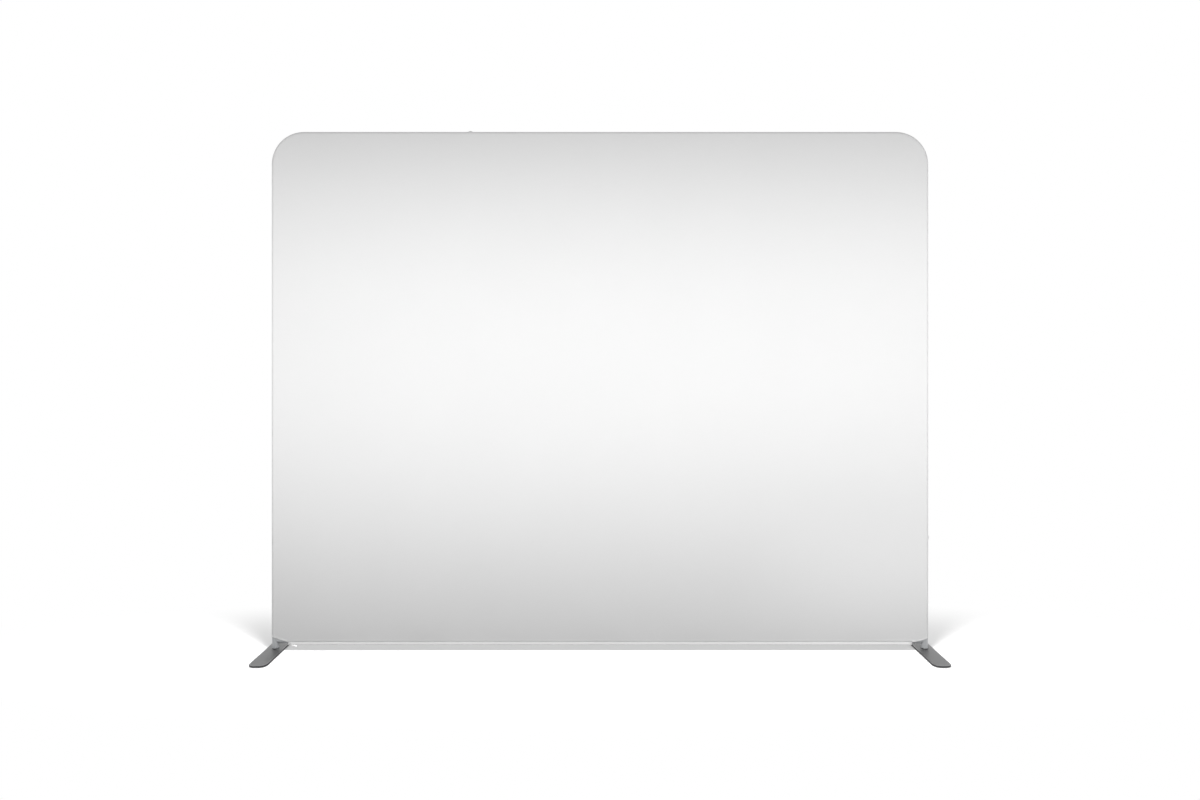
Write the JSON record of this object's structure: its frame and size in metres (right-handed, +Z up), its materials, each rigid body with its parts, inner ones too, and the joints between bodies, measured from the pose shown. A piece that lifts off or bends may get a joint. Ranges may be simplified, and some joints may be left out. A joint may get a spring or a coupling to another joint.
{
  "type": "fabric display wall",
  "caption": "Free-standing display wall: a tube frame in a zipped stretch-fabric cover, with rounded top corners, on flat swivelling feet.",
  "frame": {"origin": "on the floor, under the middle of the wall", "axes": "+X along the wall to the viewer's right, -Y the front, +Z up"},
  "size_m": [3.05, 0.4, 2.3741],
  "materials": {
    "cover": "fine white stretch knit",
    "binding": "folded white binding tape",
    "tape": "woven white zipper tape",
    "coil": "white nylon coil",
    "slider": "bright nickel plate",
    "tube": "satin anodised",
    "sleeve": "drawn",
    "steel": "bright zinc",
    "moulding": "black nylon",
    "foot": "grey powder coat",
    "pad": "matt black"
  },
  "bodies": {
    "frame": {"top_centre_tube": "tube", "left_corner_tube": "tube", "right_corner_tube": "tube", "left_mid_upright": "tube", "right_mid_upright": "tube", "left_lower_upright": "tube", "right_lower_upright": "tube", "bottom_left_rail": "tube", "bottom_centre_rail": "tube", "bottom_right_rail": "tube", "centre_pole_lower": "tube", "centre_pole_upper": "tube", "top_left_sleeve": "sleeve", "top_right_sleeve": "sleeve", "left_upper_sleeve": "sleeve", "right_upper_sleeve": "sleeve", "left_lower_sleeve": "sleeve", "right_lower_sleeve": "sleeve", "bottom_left_sleeve": "sleeve", "bottom_right_sleeve": "sleeve", "centre_pole_sleeve": "sleeve", "sleeve_rivets": "steel", "snap_springs": "steel", "foot_bolts": "steel", "pole_bottom_saddle": "moulding", "pole_top_saddle": "moulding", "left_end_plug": "moulding", "right_end_plug": "moulding", "foot_washers": "moulding", "front_panel": "cover", "rear_panel": "cover", "left_corner_hem": "binding", "right_corner_hem": "binding", "front_zipper_tape": "tape", "rear_zipper_tape": "tape", "front_zipper_coil": "coil", "rear_zipper_coil": "coil", "zipper_stops": "slider"},
    "left_foot": {"left_foot_plate": "foot", "left_foot_pads": "pad"},
    "right_foot": {"right_foot_plate": "foot", "right_foot_pads": "pad"},
    "zipper_slider": {"zipper_slider": "slider"},
    "zipper_pull": {"zipper_pull": "slider"},
    "top_left_button": {"top_left_button": "steel"},
    "top_right_button": {"top_right_button": "steel"},
    "left_upper_button": {"left_upper_button": "steel"},
    "right_upper_button": {"right_upper_button": "steel"},
    "left_lower_button": {"left_lower_button": "steel"},
    "right_lower_button": {"right_lower_button": "steel"},
    "bottom_left_button": {"bottom_left_button": "steel"},
    "bottom_right_button": {"bottom_right_button": "steel"},
    "centre_pole_button": {"centre_pole_button": "steel"},
    "left_stub_button": {"left_stub_button": "steel"},
    "right_stub_button": {"right_stub_button": "steel"}
  },
  "joints": [
    {"name": "left_foot_swivel", "type": "hinge", "parent": "frame", "child": "left_foot", "pos_m": [-1.484, 0, 0.0065], "axis": [0, 0, 1], "continuous": true},
    {"name": "right_foot_swivel", "type": "hinge", "parent": "frame", "child": "right_foot", "pos_m": [1.484, 0, 0.0065], "axis": [0, 0, 1], "continuous": true},
    {"name": "zipper_slide", "type": "slide", "parent": "frame", "child": "zipper_slider", "axis": [1, 0, 0], "range_m": [0, 2.816]},
    {"name": "zipper_pull_swing", "type": "hinge", "parent": "zipper_slider", "child": "zipper_pull", "pos_m": [-1.408, 0, 0.0241], "axis": [0, 1, 0], "range_deg": [-15, 147]},
    {"name": "top_left_button_press", "type": "slide", "parent": "frame", "child": "top_left_button", "axis": [0, 0, -1], "range_m": [0, 0.0057], "stiffness_N_per_m": 1500, "springref_m": -0.002, "deforming": ["snap_springs"]},
    {"name": "top_right_button_press", "type": "slide", "parent": "frame", "child": "top_right_button", "axis": [0, 0, 1], "range_m": [0, 0.0057], "stiffness_N_per_m": 1500, "springref_m": -0.002, "deforming": ["snap_springs"]},
    {"name": "left_upper_button_press", "type": "slide", "parent": "frame", "child": "left_upper_button", "axis": [-1, 0, 0], "range_m": [0, 0.0057], "stiffness_N_per_m": 1500, "springref_m": -0.002, "deforming": ["snap_springs"]},
    {"name": "right_upper_button_press", "type": "slide", "parent": "frame", "child": "right_upper_button", "axis": [1, 0, 0], "range_m": [0, 0.0057], "stiffness_N_per_m": 1500, "springref_m": -0.002, "deforming": ["snap_springs"]},
    {"name": "left_lower_button_press", "type": "slide", "parent": "frame", "child": "left_lower_button", "axis": [-1, 0, 0], "range_m": [0, 0.0057], "stiffness_N_per_m": 1500, "springref_m": -0.002, "deforming": ["snap_springs"]},
    {"name": "right_lower_button_press", "type": "slide", "parent": "frame", "child": "right_lower_button", "axis": [-1, 0, 0], "range_m": [0, 0.0057], "stiffness_N_per_m": 1500, "springref_m": -0.002, "deforming": ["snap_springs"]},
    {"name": "bottom_left_button_press", "type": "slide", "parent": "frame", "child": "bottom_left_button", "axis": [0, 0, -1], "range_m": [0, 0.0057], "stiffness_N_per_m": 1500, "springref_m": -0.002, "deforming": ["snap_springs"]},
    {"name": "bottom_right_button_press", "type": "slide", "parent": "frame", "child": "bottom_right_button", "axis": [0, 0, -1], "range_m": [0, 0.0057], "stiffness_N_per_m": 1500, "springref_m": -0.002, "deforming": ["snap_springs"]},
    {"name": "centre_pole_button_press", "type": "slide", "parent": "frame", "child": "centre_pole_button", "axis": [-1, 0, 0], "range_m": [0, 0.0057], "stiffness_N_per_m": 1500, "springref_m": -0.002, "deforming": ["snap_springs"]},
    {"name": "left_stub_button_press", "type": "slide", "parent": "frame", "child": "left_stub_button", "axis": [0, 0, -1], "range_m": [0, 0.0057], "stiffness_N_per_m": 1500, "springref_m": -0.002, "deforming": ["snap_springs"]},
    {"name": "right_stub_button_press", "type": "slide", "parent": "frame", "child": "right_stub_button", "axis": [0, 0, -1], "range_m": [0, 0.0057], "stiffness_N_per_m": 1500, "springref_m": -0.002, "deforming": ["snap_springs"]}
  ]
}
